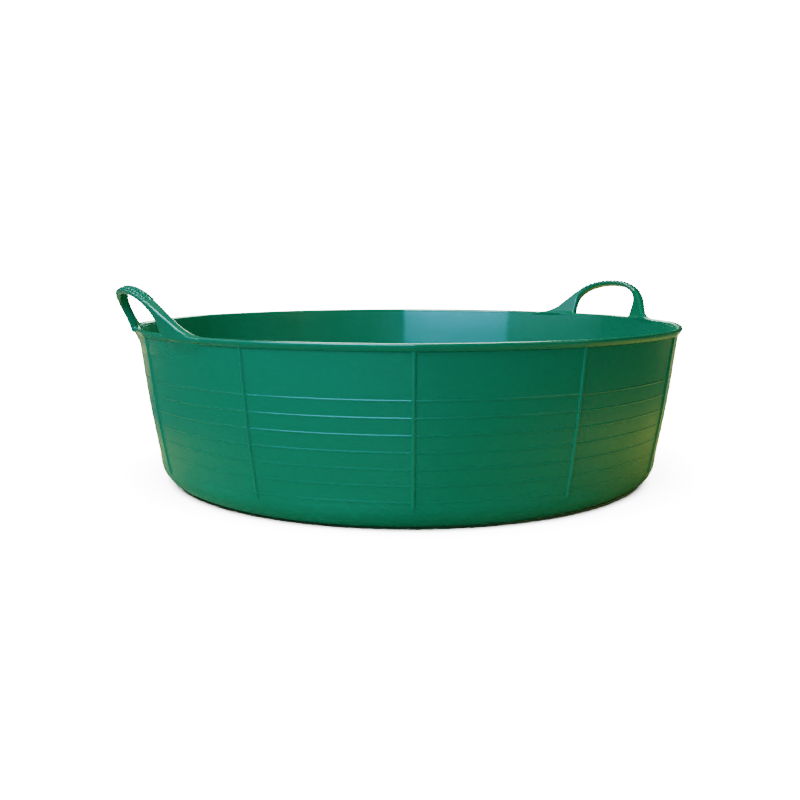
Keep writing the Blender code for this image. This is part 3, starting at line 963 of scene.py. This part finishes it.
def area_light(name, azimuth, elevation, distance, size, power, colour):
    """Soft light that faces the middle of the tub; azimuth is counted from the camera's."""
    data = bpy.data.lights.new(name, "AREA")
    data.shape = "RECTANGLE"
    data.size, data.size_y = size
    data.energy = power
    data.color = colour
    light = bpy.data.objects.new(name, data)
    bpy.context.scene.collection.objects.link(light)
    level = compass(CAMERA_AZIMUTH + math.radians(azimuth))
    rise = math.radians(elevation)
    target = Vector((0.0, 0.0, BRIM / 2.0))
    light.location = target + (level * math.cos(rise) + Vector((0.0, 0.0, math.sin(rise)))) * distance
    light.rotation_mode = "QUATERNION"
    light.rotation_quaternion = (target - light.location).to_track_quat("-Z", "Y")
    return light


def paper():
    """Pale grey floor paper without any shine."""
    material = bpy.data.materials.new("stage_paper")
    material.use_nodes = True
    shader = material.node_tree.nodes["Principled BSDF"]
    shader.inputs["Base Color"].default_value = (PAPER_GREY, PAPER_GREY, PAPER_GREY, 1.0)
    shader.inputs["Roughness"].default_value = 1.0
    shader.inputs["Specular IOR Level"].default_value = 0.0
    return material


def backdrop_glow():
    """White light from the backdrop."""
    material = bpy.data.materials.new("stage_glow")
    material.use_nodes = True
    tree = material.node_tree
    tree.nodes.clear()
    glow = tree.nodes.new("ShaderNodeEmission")
    glow.inputs["Color"].default_value = (1.0, 1.0, 1.0, 1.0)
    glow.inputs["Strength"].default_value = BACKDROP_BRIGHTNESS
    out = tree.nodes.new("ShaderNodeOutputMaterial")
    link(tree, glow.outputs["Emission"], out.inputs["Surface"])
    return material


def painted_bounce_table():
    """Matt table whose colours are painted reflections and bounce light for the tub: green under its front,
    warm beside it, painted shade further out, bright far behind.
    """
    material = bpy.data.materials.new("stage_painted_bounce")
    material.use_nodes = True
    tree = material.node_tree
    shader = tree.nodes["Principled BSDF"]
    place = tree.nodes.new("ShaderNodeTexCoord").outputs["Object"]
    split = tree.nodes.new("ShaderNodeSeparateXYZ")
    link(tree, place, split.inputs["Vector"])
    right = split.outputs["X"]
    away = split.outputs["Y"]
    distance = tree.nodes.new("ShaderNodeVectorMath")
    distance.operation = "LENGTH"
    link(tree, place, distance.inputs[0])
    aside = combine(tree, "MULTIPLY", combine(tree, "ABSOLUTE", right, 0.0), WARM_BOUNCE_ASIDE)
    warm_bounce = combine(tree, "ADD", away, aside)
    warm_bounce = combine(tree, "ADD", warm_bounce, combine(tree, "MULTIPLY", right, WARM_BOUNCE_RIGHT))
    behind = combine(tree, "MULTIPLY", combine(tree, "MAXIMUM", away, 0.0), SHADE_BEHIND)
    later = combine(tree, "MULTIPLY", right, SHADE_RIGHT)
    shade = combine(tree, "SUBTRACT", distance.outputs["Value"], later)
    shade = combine(tree, "SUBTRACT", shade, behind)
    # The colours below are painted reflections and bounce light, with painted shade in the far zone
    colour = mix_colour(tree, remap(tree, warm_bounce, WARM_BOUNCE_EDGE), FRONT_BOUNCE_COLOUR, WARM_BOUNCE_COLOUR)
    colour = mix_colour(tree, remap(tree, shade, SHADE_EDGE), colour, SHADE_COLOUR)
    colour = mix_colour(tree, remap(tree, away, FAR_BRIGHT_EDGE), colour, FAR_BRIGHT_COLOUR)
    link(tree, colour, shader.inputs["Base Color"])
    shader.inputs["Roughness"].default_value = TABLE_ROUGHNESS
    return material


def disc(name, radius, drop, material):
    """Flat disc, a little way under the tub."""
    place = (0.0, 0.0, -drop)
    bpy.ops.mesh.primitive_circle_add(vertices=96, radius=radius, fill_type="NGON", location=place)
    obj = bpy.context.object
    obj.name = name
    obj.data.materials.append(material)
    return obj


def seen_only_by_camera(obj):
    """The object shows in the picture, but casts no light of its own on the tub."""
    obj.visible_diffuse = False
    obj.visible_glossy = False
    obj.visible_transmission = False
    obj.visible_volume_scatter = False


def make_overhead(floor):
    """A soft sun that lights the floor alone."""
    lit = bpy.data.collections.new("lit_by_overhead")
    lit.objects.link(floor)
    data = bpy.data.lights.new("overhead", "SUN")
    data.energy = BACKDROP_BRIGHTNESS * math.pi / PAPER_GREY
    data.angle = OVERHEAD_SPREAD
    overhead = bpy.data.objects.new("overhead", data)
    bpy.context.scene.collection.objects.link(overhead)
    overhead.rotation_euler = OVERHEAD_TILT
    overhead.light_linking.receiver_collection = lit


def make_stage():
    """Pale floor with its own soft overhead light, a pale backdrop all round, and the unseen table whose
    colours are painted reflections, bounce light and shade for the tub.
    """
    floor = disc("stage_floor", FLOOR_RADIUS, FLOOR_DROP, paper())
    seen_only_by_camera(floor)
    bpy.ops.mesh.primitive_uv_sphere_add(segments=48, ring_count=24, radius=BACKDROP_RADIUS)
    backdrop = bpy.context.object
    backdrop.name = "stage_backdrop"
    backdrop.data.materials.append(backdrop_glow())
    seen_only_by_camera(backdrop)
    backdrop.visible_shadow = False
    # The camera never sees this table; its colours are painted reflections, bounce light and shade for the
    # tub
    table = disc("stage_table", TABLE_RADIUS, TABLE_DROP, painted_bounce_table())
    table.rotation_euler.z = CAMERA_AZIMUTH
    table.visible_camera = False
    table.visible_shadow = False
    make_overhead(floor)


def make_lights():
    """Windows and lamps round the tub. The glints only show as reflections, and the top never does."""
    area_light("window", azimuth=-27.0, elevation=26.0, distance=1.7, size=(1.5, 0.75),
               power=22.5, colour=(0.17, 0.68, 1.0))
    area_light("side_window", azimuth=-84.0, elevation=26.0, distance=1.8, size=(1.1, 0.8),
               power=9.0, colour=(0.28, 0.72, 1.0))
    area_light("lamp", azimuth=-32.0, elevation=48.0, distance=2.0, size=(0.30, 0.30),
               power=9.0, colour=(0.70, 1.0, 0.95))
    top = area_light("top", azimuth=178.0, elevation=80.0, distance=1.7, size=(1.6, 1.6),
                     power=24.0, colour=(0.80, 1.0, 0.80))
    top.visible_glossy = False
    area_light("fill", azimuth=62.0, elevation=30.0, distance=2.1, size=(1.2, 1.0),
               power=4.2, colour=(0.95, 1.0, 0.50))
    area_light("back_window", azimuth=179.0, elevation=26.0, distance=2.2, size=(1.0, 0.9),
               power=38.0, colour=(0.62, 1.0, 0.82))
    window_glint = area_light("window_glint", azimuth=-27.0, elevation=26.0, distance=1.72, size=(1.5, 0.75),
                              power=48.0, colour=(0.0, 0.50, 1.0))
    window_glint.visible_diffuse = False
    edge_glint = area_light("edge_glint", azimuth=-38.0, elevation=60.0, distance=1.7, size=(1.1, 0.55),
                            power=60.0, colour=(0.60, 1.0, 0.95))
    edge_glint.visible_diffuse = False


def make_air():
    """Faint light from all round."""
    world = bpy.data.worlds.new("studio")
    world.use_nodes = True
    air = world.node_tree.nodes["Background"]
    air.inputs["Color"].default_value = AIR_COLOUR
    air.inputs["Strength"].default_value = AIR_BRIGHTNESS
    bpy.context.scene.world = world


build_tub()
make_camera()
make_stage()
make_lights()
make_air()
